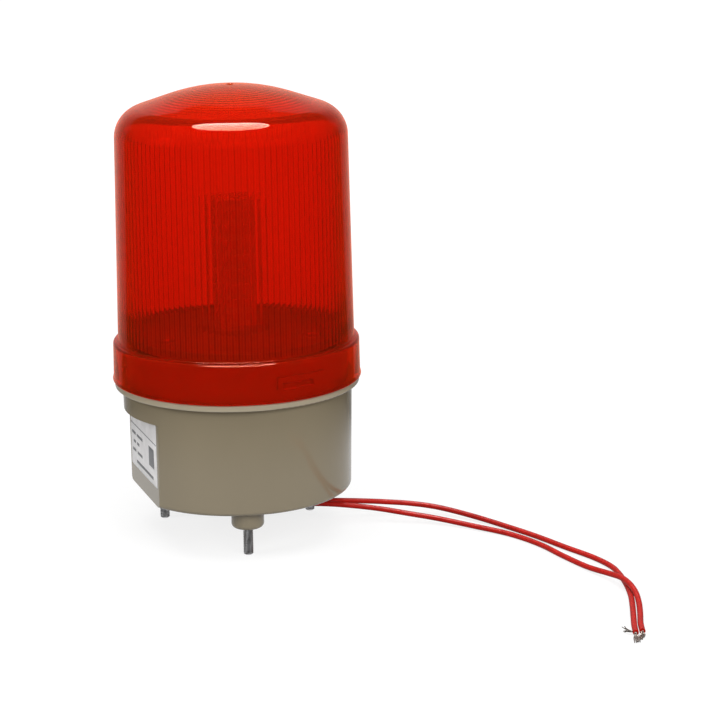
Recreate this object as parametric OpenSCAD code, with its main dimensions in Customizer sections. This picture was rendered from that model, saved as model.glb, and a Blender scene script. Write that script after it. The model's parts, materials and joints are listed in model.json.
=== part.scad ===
// Sound and light alarm: a red ribbed beacon lens on a moulded base.
// Three threaded studs under the base fasten it down, and two leads feed it.
// +Z is up, the origin is on the axis at the stud tips, and the label flat faces -X.

/* [Studs] */
// Thread diameter of a mounting stud
stud_d = 4; // [3:0.5:5]
// Length of stud that stands out below its boss
stud_out = 11.5; // [8:0.5:30]
// Diameter of a stud's plain shank inside its boss
shank_d = 3.5; // [3:0.1:4]
// Distance of the studs in from the foot of the base
stud_inset = 10.5; // [9:0.5:13]
// Turn of the stud pattern from +X, in degrees
stud_turn = 18; // [10:1:25]
// Width of a stud's hexagon head across its flats
stud_head_w = 7; // [6:0.5:8]
// Height of a stud's head
stud_head_h = 2.8; // [2:0.2:4]

/* [Base housing] */
// Radius of the base at its foot
base_r_low = 45.5; // [44.5:0.1:46]
// Radius of the base under its rim
base_r_high = 46.2; // [45:0.1:47]
// Height from the foot to the underside of the rim
base_h = 43.3; // [40:0.1:60]
// Thickness of the side wall
base_wall = 2.5; // [1.6:0.1:3]
// Thickness of the floor
floor_t = 2.8; // [2:0.1:4]
// Rounding at the foot of the side wall
foot_round = 1.5; // [0.5:0.1:2.5]
// Distance of the label flat from the axis
flat_d = 39.8; // [37:0.1:42]
// Height of the label flat above the foot
flat_h = 34.4; // [30:0.1:39]
// Rounding of the flat's two upright edges
flat_round = 4.5; // [2:0.5:12]
// Radius of a stud boss
boss_r = 6.5; // [5:0.1:8]
// Height of a stud boss below the foot
boss_h = 7.3; // [4:0.1:12]
// Rounding at the lower edge of a boss
boss_round = 1.8; // [0.4:0.1:2.5]
// Radius of the rim below the lens
rim_r = 49.2; // [47.5:0.1:49.5]
// Height of the rim
rim_h = 2.5; // [2:0.1:4]
// Rounding of the rim's edges
rim_round = 0.5; // [0.2:0.1:0.9]

/* [Twist lock] */
// Turn of the first ledge from +X, in degrees
lock_turn = 46; // [0:1:119]
// Thickness of the collar
collar_wall = 2.6; // [2:0.1:2.9]
// Radial reach of a ledge on the collar
ledge_out = 1.5; // [1.2:0.1:1.6]
// Thickness of a ledge
ledge_t = 2; // [1.5:0.1:3]
// Arc that a ledge covers, in degrees
ledge_arc = 26; // [24:1:32]
// Arc of the stop at the closed end of a ledge, in degrees
stop_arc = 2; // [1.5:0.1:3]
// Arc that a lens lug covers, in degrees
lug_arc = 16; // [10:1:18]
// Thickness of a lens lug
lug_t = 2.2; // [1.5:0.1:3]
// Height of the lugs above the lower edge of the skirt
lug_lift = 4.5; // [3:0.1:5.5]

/* [Lens] */
// Radius of the skirt at its lower edge
skirt_r = 50; // [49.9:0.1:52]
// Width that the lip flares out at the skirt's lower edge
skirt_lip = 0.4; // [0.1:0.1:0.6]
// Height of the lip
skirt_lip_h = 1.8; // [1:0.1:4]
// Draft of the skirt, from its lip to its top corner
skirt_draft = 0.2; // [0.1:0.1:0.8]
// Height of the skirt
skirt_h = 17.1; // [15:0.1:22]
// Wall thickness of the skirt
skirt_wall = 2.2; // [1.8:0.1:2.3]
// Rounding of the skirt's top corner
skirt_round = 1.6; // [0.5:0.1:1.9]
// Thickness of the step between skirt and wall
step_t = 2.2; // [2:0.1:3]
// Width of the shelf on top of the skirt
skirt_shelf = 2; // [1.2:0.1:3]
// Draft of the lens wall, from the skirt to the shoulder
lens_draft = 1.4; // [0.5:0.1:2]
// Height of the lens from the skirt's lower edge to its top
lens_h = 117.1; // [100:0.1:150]
// Thickness of the dome
dome_t = 2.3; // [1.8:0.1:2.6]
// Rounding radius of the shoulder
shoulder_r = 12.5; // [8:0.5:16]
// Slope of the dome's cone, in degrees
cone_slope = 19; // [15:1:24]
// Radius of the dome's crown
crown_r = 80; // [50:1:90]
// Radius of the gate mark at the top
gate_r = 1.3; // [0.8:0.1:2]
// Height of the gate mark
gate_h = 0.6; // [0.3:0.1:1]
// Number of grooves between the ribs inside the wall
rib_count = 150; // [24:6:160]
// Depth of the grooves
rib_depth = 0.3; // [0.3:0.1:0.9]
// Share of each rib's pitch that its groove takes
rib_groove = 0.25; // [0.2:0.05:0.7]
// Plain band of wall below the ribs
rib_start = 3; // [1:0.5:10]
// Plain band of wall between the ribs and the shoulder
rib_end = 0.5; // [0.5:0.5:20]

/* [Seal and deck] */
// Thickness of the lens seal
seal_t = 1.5; // [1:0.1:2.5]
// Thickness of the deck
deck_t = 2; // [1.5:0.1:3]
// Height of the deck's underside above the collar
deck_lift = 2; // [1.9:0.1:5]
// Height of the lip around the deck
deck_lip_h = 1.5; // [0.5:0.1:3]
// Width of the lip around the deck
deck_lip_w = 1.2; // [0.8:0.1:2]
// Distance of the deck posts from the axis
post_at = 33; // [32.5:0.1:34]
// Radius of a deck post
post_r = 3.2; // [2.8:0.1:3.4]

/* [Lamp tower] */
// Width of the lamp tower
tower_w = 15.2; // [14:0.2:20]
// Height of the lamp boards
tower_h = 51; // [48:0.5:60]
// Thickness of the lamp and driver boards
board_t = 1.2; // [0.8:0.1:1.6]
// Radius of the tower's foot
tower_foot_r = 13; // [12.5:0.5:16]
// Thickness of the tower's foot
tower_foot_t = 3; // [2:0.1:5]
// Height of the block that the lamp boards fit around
tower_plug_h = 6; // [4:0.5:12]
// Rows of lamp chips on a board
chip_rows = 8; // [4:1:8]
// Spacing of the chip rows
chip_pitch = 6; // [4:0.1:6]
// Spacing of the two columns of chips
chip_column = 6; // [4:0.1:7]
// Width of a lamp chip
chip_w = 2.8; // [1.6:0.1:3.2]
// Height of a lamp chip on its board
chip_h = 3.4; // [1.6:0.1:3.6]
// Thickness of a lamp chip
chip_t = 0.8; // [0.5:0.1:1.2]

/* [Electronics] */
// Length of the driver board
driver_l = 52; // [50:1:56]
// Width of the driver board
driver_w = 36; // [34:1:38]
// Height of the driver board above the floor
driver_lift = 14; // [12:0.5:16]
// Radius of the smoothing capacitor
cap_r = 5; // [4:0.5:6]
// Height of the smoothing capacitor
cap_h = 16; // [12:0.5:18]
// Radius of the choke's flanges
choke_r = 6; // [5:0.5:6.5]
// Height of the choke
choke_h = 10; // [8:0.5:14]
// Radius of the buzzer
buzzer_r = 11; // [10:0.1:12]
// Height of the buzzer
buzzer_h = 10; // [8:0.5:14]
// Radius of a sound hole in the floor
sound_hole_r = 1; // [0.6:0.1:1.4]

/* [Leads] */
// Diameter of a lead
lead_d = 2.2; // [1.6:0.1:2.4]
// Diameter of the bare strands at a lead's end
strand_d = 1.2; // [0.8:0.1:1.5]
// Radius of the grommet's hole in the floor
grommet_hole_r = 5; // [4.5:0.1:6]
// Thickness of a grommet flange
grommet_flange_t = 1.3; // [0.8:0.1:2]
// Width that a grommet flange stands out round its hole
grommet_flange_w = 1.6; // [1:0.1:2.5]

/* [Fits] */
// Gap between pieces that seat on each other and turn
seat_gap = 0.3; // [0.2:0.05:0.5]
// Gap between the sliding faces of the twist lock
lock_gap = 0.4; // [0.3:0.05:0.5]
// Gap round a fixed piece in its hole
hole_gap = 0.2; // [0.1:0.05:0.3]
// Gap between a ledge and the inside of the skirt
ledge_gap = 0.5; // [0.3:0.05:0.8]
// Gap between the deck and the inside of the lens
deck_gap = 1.5; // [1:0.1:3]

/* [Hidden] */
$fn = 128;

// Overlap of a cutter past the face it cuts, and of a boss into its wall
eps = 1;

// Levels up the axis
base_z = stud_out + boss_h;
floor_z = base_z + floor_t;
rim_z = base_z + base_h;
rim_top = rim_z + rim_h;
skirt_z = rim_top + seat_gap;
skirt_top = skirt_z + skirt_h;
step_z = skirt_top - step_t;
seal_z = step_z - seat_gap - seal_t;
collar_top = seal_z;
deck_z = collar_top + deck_lift;
deck_top = deck_z + deck_t;
apex_z = skirt_z + lens_h;
driver_z = floor_z + driver_lift;
driver_top = driver_z + board_t;
tower_z = deck_top + tower_foot_t;
tower_top = tower_z + tower_h;

// Radii of the lens, and of the twist lock and the deck inside it
skirt_r_top = skirt_r - skirt_lip - skirt_draft;
lens_r_low = skirt_r_top - skirt_shelf;
lens_r_high = lens_r_low - lens_draft;
bore_r = lens_r_high - dome_t;
deck_r = bore_r - deck_gap;
ledge_r = skirt_r_top - skirt_wall - ledge_gap;
collar_r = ledge_r - ledge_out;
collar_in = collar_r - collar_wall;
lug_in = collar_r + lock_gap;
lug_z = skirt_z + lug_lift;
ledge_z = lug_z + lug_t + lock_gap;
// Angle from the middle of a ledge to the start of its lug, past the stop
lock_gap_arc = lock_gap / collar_r * 180 / PI;
lug_start = -ledge_arc / 2 + stop_arc + lock_gap_arc;

// The shoulder's centre follows from the crown, the cone and the wall
shoulder_x = lens_r_high - shoulder_r;
cone_top_r = crown_r * sin(cone_slope);
cone_top_z = apex_z - crown_r * (1 - cos(cone_slope));
cone_low_r = shoulder_x + shoulder_r * sin(cone_slope);
cone_low_z = cone_top_z - (cone_low_r - cone_top_r) * tan(cone_slope);
shoulder_z = cone_low_z - shoulder_r * cos(cone_slope);

// Circle of the studs
stud_pcd = 2 * (base_r_low - stud_inset);

// Places on the floor of the base
buzzer_inset = 21;
buzzer_at = [7.5, buzzer_inset - base_r_low];
buzzer_round = 0.8;
buzzer_ring_t = 1;
buzzer_ring_h = 4;
sound_ring_r = 4;
sound_ring_count = 6;
driver_at = [4, 5];
driver_post_r = 2.6;
driver_post_inset = 4;

// Small screws that hold the deck and the driver board
screw_r = 1.3;
screw_head_r = 2.6;
screw_head_h = 1.8;
screw_l = 8;

// Small parts on the driver board, placed from the middle of the board
cap_at = [-12, 0];
cap_round = 0.7;
cap_groove_r = 0.9;
cap_groove_z = 2.4;
cap_groove_depth = 0.5;
choke_at = [10, -4];
choke_round = 0.3;
choke_wire_inset = 0.8;
chip_at = [-6, -13];
chip_body = [10, 6, 2];
chip_mark_r = 0.6;
chip_mark_inset = 1.4;
chip_mark_depth = 0.3;
rectifier_at = [-2, 11];
rectifier_body = [9, 4, 8];
rectifier_bevel = 1;
fuse_at = [6, 7];
fuse_round = 0.4;
fuse_r = 2.6;
fuse_l = 15;
fuse_cap_l = 4;
fuse_glass_r = 2.2;
pcb_hole_r = 1.6;
buzzer_port_r = 2;
buzzer_port_h = 3;

// Each lead starts under the driver board and runs down through the grommet
lead_at = 2;
lead_gap = 0.6;
lead_in = 6.4;
lead_out = 1.8;
function lead_start(y) = [
    [0, y, driver_z - lead_gap], [0, y, floor_z + lead_in], [0, y, floor_z], [0, y, base_z - lead_out]
];

// Routes of the two leads, from the grommet out to their bare ends
lead_1 = [
    each lead_start(lead_at), [1.2, 1.8, 12.8], [4.6, 1.2, 10],
    [10, 0, 9.1], [18, -1.5, 9], [28, -3.5, 8.8], [40, -5.5, 8], [50, -6, 6.8], [60, -6.5, 5.4],
    [71, -9, 4.1], [81, -15, 3], [91, -28, 2], [100, -45, 1.3], [106, -60, 1.2],
    [111, -76, 1.2], [116, -91, 1.2], [118, -103, 1.2], [117, -113, 1.2],
    [114.4, -124, 1.2], [110.6, -135.5, 1.2], [106.6, -145, 1.2], [102.3, -154.5, 1.2],
    [98.3, -163.3, 1.2], [95.4, -170.5, 1.2]
];
lead_2 = [
    each lead_start(-lead_at), [1.2, -2.2, 12.8], [4.6, -2.8, 10],
    [10, -4, 9.1], [18, -5.5, 9], [27, -7, 8.7], [36, -9, 8], [46, -11, 6.6], [56, -14, 5],
    [66, -20, 3.6], [76, -27, 2.4], [87, -39, 1.5], [97, -53, 1.2], [103, -69, 1.2],
    [106, -86, 1.2], [109, -101, 1.4], [112, -114, 2.6], [112.8, -123, 3.8], [112.6, -130.6, 3.8],
    [111.6, -137.8, 2.8], [109.2, -145.2, 1.6], [105.4, -153.8, 1.2], [101.2, -162.6, 1.2],
    [98.2, -170.2, 1.2]
];
strand_1 = [[95.3, -170.8, 1.2], [94, -174.3, 1.1], [92.8, -177.8, 1]];
strand_2 = [[98.1, -170.5, 1.2], [96.6, -174, 1.1], [95.3, -177.3, 1]];
lead_sides = 8;
lead_rings = 38;
strand_rings = 4;
// A direction that no stretch of either lead runs along
lead_side_hint = [0.6, 0.6, 0.5];

// Colours of the finished pieces
lens_red = [0.80, 0.07, 0.02, 0.75];
housing_beige = [0.62, 0.58, 0.49];
zinc = [0.62, 0.62, 0.63];
rubber_black = [0.10, 0.10, 0.10];
silicone_pale = [0.80, 0.78, 0.74];
deck_grey = [0.62, 0.61, 0.58];
board_white = [0.88, 0.88, 0.84];
board_green = [0.10, 0.35, 0.18];
chip_yellow = [0.90, 0.80, 0.35];
part_black = [0.08, 0.08, 0.09];
lead_red = [0.78, 0.12, 0.08];
tinned = [0.75, 0.74, 0.72];

// Puts its children at each of the three studs
module at_studs() {
    for (i = [0:2])
        rotate(stud_turn + i * 120) translate([stud_pcd / 2, 0, 0]) children();
}

// Puts its children at each of the three deck posts, between the studs
module at_deck_posts() {
    for (i = [0:2])
        rotate(stud_turn + 60 + i * 120) translate([post_at, 0, 0]) children();
}

// Turns its children to each of the three places of the twist lock
module at_locks() {
    for (i = [0:2]) rotate(lock_turn + i * 120) children();
}

// Puts its children at each corner of the driver board
module at_driver_posts() {
    dx = driver_l / 2 - driver_post_inset;
    dy = driver_w / 2 - driver_post_inset;
    for (sx = [-1, 1], sy = [-1, 1])
        translate([driver_at.x + sx * dx, driver_at.y + sy * dy, 0]) children();
}

// Puts its children on the driver board, at a place from the board's middle
module on_driver(at)
    translate([driver_at.x + at.x, driver_at.y + at.y, driver_top]) children();

// Half profile of a band from radius r0 to r1 whose outer edges are rounded
module round_band(r0, r1, z0, z1, low_round, high_round) {
    translate([r0, z0]) square([r1 - r0 - low_round, z1 - z0 - high_round]);
    translate([r0, z0 + low_round]) square([r1 - r0 - high_round, z1 - z0 - low_round]);
    translate([r0, z0 + low_round]) square([r1 - r0, z1 - z0 - low_round - high_round]);
    if (low_round > 0) translate([r1 - low_round, z0 + low_round]) circle(low_round);
    if (high_round > 0) translate([r1 - high_round, z1 - high_round]) circle(high_round);
}

// A ring of sector form about the axis
module arc_block(r0, r1, z0, z1, start, arc) {
    rotate(start) rotate_extrude(angle = arc)
        translate([r0, z0]) square([r1 - r0, z1 - z0]);
}

// A pan head screw whose head sits on z = 0
module pan_screw() {
    rotate_extrude() {
        translate([0, -screw_l]) square([screw_r, screw_l + eps]);
        intersection() {
            round_band(0, screw_head_r, -screw_head_h, screw_head_h, 0, screw_head_h / 2);
            square([screw_head_r, screw_head_h]);
        }
    }
}

// Outline that the label flat cuts away, with rounded upright edges
module flat_outline() {
    reach = 2 * flat_round + base_r_high;
    mid_r = (base_r_low + base_r_high) / 2;
    centre_x = flat_d - flat_round;
    centre_y = sqrt(pow(mid_r - flat_round, 2) - pow(centre_x, 2));
    translate([-flat_d - reach, -centre_y]) square([reach, 2 * centre_y]);
    for (side = [-1, 1]) {
        centre = [-centre_x, side * centre_y];
        difference() {
            polygon([centre, centre + [-reach, 0], centre + centre / norm(centre) * reach]);
            translate(centre) circle(flat_round);
        }
    }
}

// Outer form of the base: drafted cup, rim and collar, cut by the label flat
module base_outside() {
    difference() {
        rotate_extrude() {
            polygon([
                [0, base_z], [base_r_low - foot_round, base_z],
                [base_r_low, base_z + foot_round], [base_r_high, rim_z + eps], [0, rim_z + eps]
            ]);
            translate([base_r_low - foot_round, base_z + foot_round]) circle(foot_round);
            round_band(0, rim_r, rim_z, rim_top, rim_round, rim_round);
            translate([0, rim_z]) square([collar_r, collar_top - rim_z]);
        }
        translate([0, 0, base_z - eps]) linear_extrude(flat_h + eps) flat_outline();
    }
    at_studs() rotate_extrude()
        round_band(0, boss_r, stud_out, floor_z - eps, boss_round, 0);
    at_locks() {
        arc_block(collar_r - eps, ledge_r, ledge_z, ledge_z + ledge_t, -ledge_arc / 2, ledge_arc);
        arc_block(collar_r - eps, ledge_r, lug_z, ledge_z + ledge_t, -ledge_arc / 2, stop_arc);
    }
}

// Hollow of the base, with the wall behind the label flat left standing
module base_hollow() {
    difference() {
        rotate_extrude()
            polygon([
                [0, floor_z], [base_r_low - base_wall, floor_z],
                [base_r_high - base_wall, rim_z], [collar_in, rim_z + base_wall],
                [collar_in, collar_top + eps], [0, collar_top + eps]
            ]);
        translate([-flat_d + base_wall - base_r_high, -base_r_high, base_z])
            cube([base_r_high, 2 * base_r_high, flat_h + base_wall]);
    }
}

// Posts and the buzzer's ring inside the base
module base_posts() {
    at_deck_posts() difference() {
        translate([0, 0, floor_z - eps]) cylinder(h = deck_z - floor_z + eps, r = post_r);
        translate([0, 0, deck_z - screw_l]) cylinder(h = screw_l + eps, r = screw_r + hole_gap);
    }
    at_driver_posts() difference() {
        translate([0, 0, floor_z - eps]) cylinder(h = driver_lift + eps, r = driver_post_r);
        translate([0, 0, driver_z - screw_l]) cylinder(h = screw_l + eps, r = screw_r + hole_gap);
    }
    translate([buzzer_at.x, buzzer_at.y, floor_z - eps]) difference() {
        cylinder(h = buzzer_ring_h + eps, r = buzzer_r + hole_gap + buzzer_ring_t);
        cylinder(h = buzzer_ring_h + 2 * eps, r = buzzer_r + hole_gap);
    }
}

// Moulded base: cup, label flat, stud bosses, rim, twist lock collar and inner posts
module base_housing() color(housing_beige) {
    difference() {
        union() {
            difference() {
                base_outside();
                base_hollow();
            }
            base_posts();
        }
        at_studs() translate([0, 0, stud_out - eps])
            cylinder(h = floor_z - stud_out + 2 * eps, r = stud_d / 2 + hole_gap);
        translate([0, 0, base_z - eps]) cylinder(h = floor_t + 2 * eps, r = grommet_hole_r);
        translate([buzzer_at.x, buzzer_at.y, base_z - eps]) {
            cylinder(h = floor_t + 2 * eps, r = sound_hole_r);
            for (i = [0:sound_ring_count - 1]) rotate(i * 360 / sound_ring_count)
                translate([sound_ring_r, 0, 0]) cylinder(h = floor_t + 2 * eps, r = sound_hole_r);
        }
    }
}

// Half profile of the dome and wall, drawn in by a wall thickness
module dome_profile(low_r, high_r, low_z, inset) {
    round_r = shoulder_r - inset;
    dx = inset * sin(cone_slope);
    dz = inset * cos(cone_slope);
    polygon([
        [0, low_z], [low_r, low_z], [high_r, shoulder_z],
        [cone_low_r - dx, cone_low_z - dz], [cone_top_r - dx, cone_top_z - dz],
        [0, cone_top_z - dz]
    ]);
    translate([shoulder_x, shoulder_z]) intersection() {
        circle(round_r);
        square(round_r);
    }
    translate([0, apex_z - crown_r]) intersection() {
        circle(crown_r - inset);
        translate([0, crown_r * cos(cone_slope) - dz - eps]) square([cone_top_r - dx, crown_r]);
    }
}

// Star whose points cut the grooves between the lens ribs
module rib_star() {
    land_r = bore_r - rib_depth * (1 / rib_groove - 1);
    polygon([
        for (i = [0:rib_count - 1], k = [0, 1])
            let (r = k == 0 ? bore_r + rib_depth : land_r, a = (i + k / 2) * 360 / rib_count)
                [r * cos(a), r * sin(a)]
    ]);
}

// One-piece lens: domed and drafted, ribbed inside, with a skirt and three lugs
module lens() color(lens_red) {
    skirt_in = skirt_r - skirt_wall;
    skirt_in_top = skirt_r_top - skirt_wall;
    difference() {
        rotate_extrude() {
            dome_profile(lens_r_low, lens_r_high, skirt_top - eps, 0);
            polygon([
                [0, skirt_z], [skirt_r, skirt_z], [skirt_r - skirt_lip, skirt_z + skirt_lip_h],
                [skirt_r_top, skirt_top - skirt_round], [0, skirt_top - skirt_round]
            ]);
            round_band(0, skirt_r_top, skirt_top - 2 * skirt_round, skirt_top, 0, skirt_round);
            translate([0, apex_z - eps]) square([gate_r, gate_h + eps]);
        }
        rotate_extrude() {
            dome_profile(bore_r, bore_r, step_z - eps, dome_t);
            polygon([
                [0, skirt_z - eps], [skirt_in, skirt_z - eps], [skirt_in, skirt_z],
                [skirt_in_top, step_z], [0, step_z]
            ]);
        }
        translate([0, 0, skirt_top + rib_start])
            linear_extrude(shoulder_z - rib_end - skirt_top - rib_start) rib_star();
    }
    at_locks()
        arc_block(lug_in, skirt_r_top - skirt_wall / 2, lug_z, lug_z + lug_t, lug_start, lug_arc);
}

// Three studs with hexagon heads on the inside of the floor
module mounting_studs() color(zinc) at_studs() {
    rotate_extrude()
        polygon([
            [0, 0], [stud_d / 2 - stud_d / 8, 0], [stud_d / 2, stud_d / 8],
            [stud_d / 2, stud_out], [shank_d / 2, stud_out],
            [shank_d / 2, floor_z + stud_head_h / 2], [0, floor_z + stud_head_h / 2]
        ]);
    translate([0, 0, floor_z])
        cylinder(h = stud_head_h, r = stud_head_w / 2 / cos(30), $fn = 6);
}

// Rubber grommet in the floor, with a hole for each lead
module wire_grommet() color(rubber_black) {
    flange_r = grommet_hole_r + grommet_flange_w;
    difference() {
        rotate_extrude() {
            round_band(0, flange_r, base_z - grommet_flange_t, base_z, grommet_flange_t / 3, 0);
            translate([0, base_z - eps]) square([grommet_hole_r - hole_gap, floor_t + 2 * eps]);
            round_band(0, flange_r, floor_z, floor_z + grommet_flange_t, 0, grommet_flange_t / 3);
        }
        for (side = [-1, 1]) translate([0, side * lead_at, base_z - grommet_flange_t - eps])
            cylinder(h = floor_t + 2 * grommet_flange_t + 2 * eps, r = lead_d / 2 + hole_gap);
    }
}

// Flat silicone ring on the collar, under the step of the lens
module lens_seal() color(silicone_pale)
    rotate_extrude() translate([collar_in + hole_gap, seal_z])
        square([collar_wall - hole_gap, seal_t]);

// Round deck with a lip, a lead hole and three screw holes
module deck() color(deck_grey)
    difference() {
        rotate_extrude() {
            translate([0, deck_z]) square([deck_r, deck_t]);
            translate([deck_r - deck_lip_w, deck_z]) square([deck_lip_w, deck_t + deck_lip_h]);
        }
        at_deck_posts() translate([0, 0, deck_z - eps])
            cylinder(h = deck_t + 2 * eps, r = screw_r + hole_gap);
        translate([0, 0, deck_z - eps]) cylinder(h = deck_t + 2 * eps, r = tower_w / 4);
    }

// Three screws through the deck into its posts
module deck_screws() color(zinc)
    at_deck_posts() translate([0, 0, deck_top]) pan_screw();

// Foot of the lamp tower, with the block that the boards fit around
module tower_foot() color(deck_grey) {
    plug_w = tower_w - 2 * board_t - 2 * hole_gap;
    difference() {
        union() {
            rotate_extrude()
                round_band(0, tower_foot_r, deck_top, tower_z, 0, tower_foot_t / 3);
            translate([-plug_w / 2, -plug_w / 2, tower_z - eps])
                cube([plug_w, plug_w, tower_plug_h + eps]);
        }
        translate([0, 0, deck_top - eps])
            cylinder(h = tower_foot_t + tower_plug_h + 2 * eps, r = tower_w / 4);
    }
}

// One upright lamp board; the four stand round a square, each lapping the next
module led_board(i) color(board_white)
    rotate(i * 90) translate([tower_w / 2 - board_t, -tower_w / 2, tower_z])
        cube([board_t, tower_w - board_t, tower_h]);

// The lamp chips on one upright board
module led_chips(i) color(chip_yellow)
    rotate(i * 90) for (row = [0:chip_rows - 1], side = [-1, 1])
        translate([
            tower_w / 2,
            side * chip_column / 2 - chip_w / 2 - board_t / 2,
            tower_z + tower_h / 2 + (row - (chip_rows - 1) / 2) * chip_pitch - chip_h / 2
        ]) cube([chip_t, chip_w, chip_h]);

// Board that closes the top of the lamp tower
module tower_cap() color(board_white)
    translate([-tower_w / 2, -tower_w / 2, tower_top]) cube([tower_w, tower_w, board_t]);

// The four lamp chips on the top board
module led_chips_top() color(chip_yellow)
    for (sx = [-1, 1], sy = [-1, 1])
        translate([
            sx * chip_column / 2 - chip_w / 2, sy * chip_column / 2 - chip_h / 2, tower_top + board_t
        ]) cube([chip_w, chip_h, chip_t]);

// Driver board on its four posts
module driver_board() color(board_green)
    difference() {
        translate([driver_at.x - driver_l / 2, driver_at.y - driver_w / 2, driver_z])
            cube([driver_l, driver_w, board_t]);
        at_driver_posts() translate([0, 0, driver_z - eps])
            cylinder(h = board_t + 2 * eps, r = pcb_hole_r);
    }

// Four screws through the driver board into its posts
module board_screws() color(zinc)
    at_driver_posts() translate([0, 0, driver_top]) pan_screw();

// Smoothing capacitor: a can with a rolled groove above its foot
module smoothing_capacitor() color([0.12, 0.14, 0.30])
    on_driver(cap_at) rotate_extrude()
        difference() {
            round_band(0, cap_r, 0, cap_h, cap_round, cap_round);
            translate([cap_r + cap_groove_r - cap_groove_depth, cap_groove_z]) circle(cap_groove_r);
        }

// Choke: a drum core with its winding between the flanges
module choke() color([0.30, 0.16, 0.08])
    on_driver(choke_at) rotate_extrude() {
        round_band(0, choke_r, 0, choke_h / 5, choke_round, choke_round);
        round_band(0, choke_r - choke_wire_inset, 0, choke_h, choke_round, choke_round);
        round_band(0, choke_r, choke_h * 4 / 5, choke_h, choke_round, choke_round);
    }

// Bridge rectifier, upright on the driver board
module rectifier() color(part_black)
    on_driver(rectifier_at) linear_extrude(rectifier_body.z)
        polygon([
            [0, 0], [rectifier_body.x, 0], [rectifier_body.x, rectifier_body.y],
            [rectifier_bevel, rectifier_body.y], [0, rectifier_body.y - rectifier_bevel]
        ]);

// Control chip, flat on the driver board
module control_chip() color(part_black)
    on_driver(chip_at) difference() {
        cube(chip_body);
        translate([chip_mark_inset, chip_mark_inset, chip_body.z - chip_mark_depth])
            cylinder(h = eps, r = chip_mark_r);
    }

// Glass fuse with two metal end caps
module fuse() color(tinned)
    on_driver(fuse_at) translate([0, 0, fuse_r]) rotate([0, 90, 0]) rotate_extrude() {
        round_band(0, fuse_r, 0, fuse_cap_l, fuse_round, 0);
        square([fuse_glass_r, fuse_l]);
        round_band(0, fuse_r, fuse_l - fuse_cap_l, fuse_l, 0, fuse_round);
    }

// Buzzer over the sound holes, its port facing down
module buzzer() color(part_black)
    translate([buzzer_at.x, buzzer_at.y, floor_z]) difference() {
        rotate_extrude() round_band(0, buzzer_r, 0, buzzer_h, buzzer_round, buzzer_round);
        translate([0, 0, -eps]) cylinder(h = buzzer_port_h + eps, r = buzzer_port_r);
    }

// Unit vector
function unit(v) = v / norm(v);

// Point i of a route, held at its two ends
function route_point(p, i) = p[max(0, min(len(p) - 1, i))];

// Point of the smooth curve through a route's points, s counting along the points
function curve_point(p, s) =
    let (i = min(floor(s), len(p) - 2), t = s - i,
        a = route_point(p, i - 1), b = p[i], c = p[i + 1], d = route_point(p, i + 2))
        b + t / 2 * ((c - a) + t * (2 * a - 5 * b + 4 * c - d) + t * t * (3 * b - 3 * c + d - a));

// Points of the smooth curve at n even steps
function curve(p, n) = [for (i = [0:n - 1]) curve_point(p, i * (len(p) - 1) / (n - 1))];

// Direction of a curve at point i: along the chord of its two neighbours
function curve_way(p, i) = unit(route_point(p, i + 1) - route_point(p, i - 1));

// One ring of a round tube, square to the way it runs
function tube_ring(at, way, r) =
    let (u = unit(cross(way, lead_side_hint)), v = cross(way, u))
        [for (k = [0:lead_sides - 1])
            let (a = k * 360 / lead_sides) at + r * (cos(a) * u + sin(a) * v)];

// A round tube swept along a curve, each side face as two triangles
module tube(path, r) {
    n = len(path);
    s = lead_sides;
    polyhedron(
        points = [for (i = [0:n - 1]) each tube_ring(path[i], curve_way(path, i), r)],
        faces = concat(
            [[for (k = [0:s - 1]) k]],
            [for (i = [0:n - 2], k = [0:s - 1])
                [i * s + k, (i + 1) * s + k, (i + 1) * s + (k + 1) % s]],
            [for (i = [0:n - 2], k = [0:s - 1])
                [i * s + k, (i + 1) * s + (k + 1) % s, i * s + (k + 1) % s]],
            [[for (k = [s - 1:-1:0]) (n - 1) * s + k]]
        )
    );
}

// One insulated lead
module lead_wire(route) color(lead_red) tube(curve(route, lead_rings), lead_d / 2);

// The bare strands at a lead's end
module wire_end(route) color(tinned) tube(curve(route, strand_rings), strand_d / 2);

lens();
base_housing();
mounting_studs();
wire_grommet();
lens_seal();
deck();
deck_screws();
tower_foot();
tower_cap();
led_board(0);  // led_board_1
led_board(1);  // led_board_2
led_board(2);  // led_board_3
led_board(3);  // led_board_4
led_chips(0);  // led_chips_1
led_chips(1);  // led_chips_2
led_chips(2);  // led_chips_3
led_chips(3);  // led_chips_4
led_chips_top();
driver_board();
board_screws();
smoothing_capacitor();
choke();
rectifier();
control_chip();
fuse();
buzzer();
lead_wire(lead_1);  // lead_wire_1
lead_wire(lead_2);  // lead_wire_2
wire_end(strand_1);  // wire_end_1
wire_end(strand_2);  // wire_end_2
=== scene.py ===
"""Looks of a sound and light alarm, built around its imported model.

The lens, studs, leads, strands and label are surfaces worked out here.
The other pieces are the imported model's own, with finishes made of nodes.
"""

import json
import math

import bmesh
import bpy
import numpy as np
from bpy.props import FloatProperty, FloatVectorProperty, IntProperty, PointerProperty
from mathutils import Matrix, Vector


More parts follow.
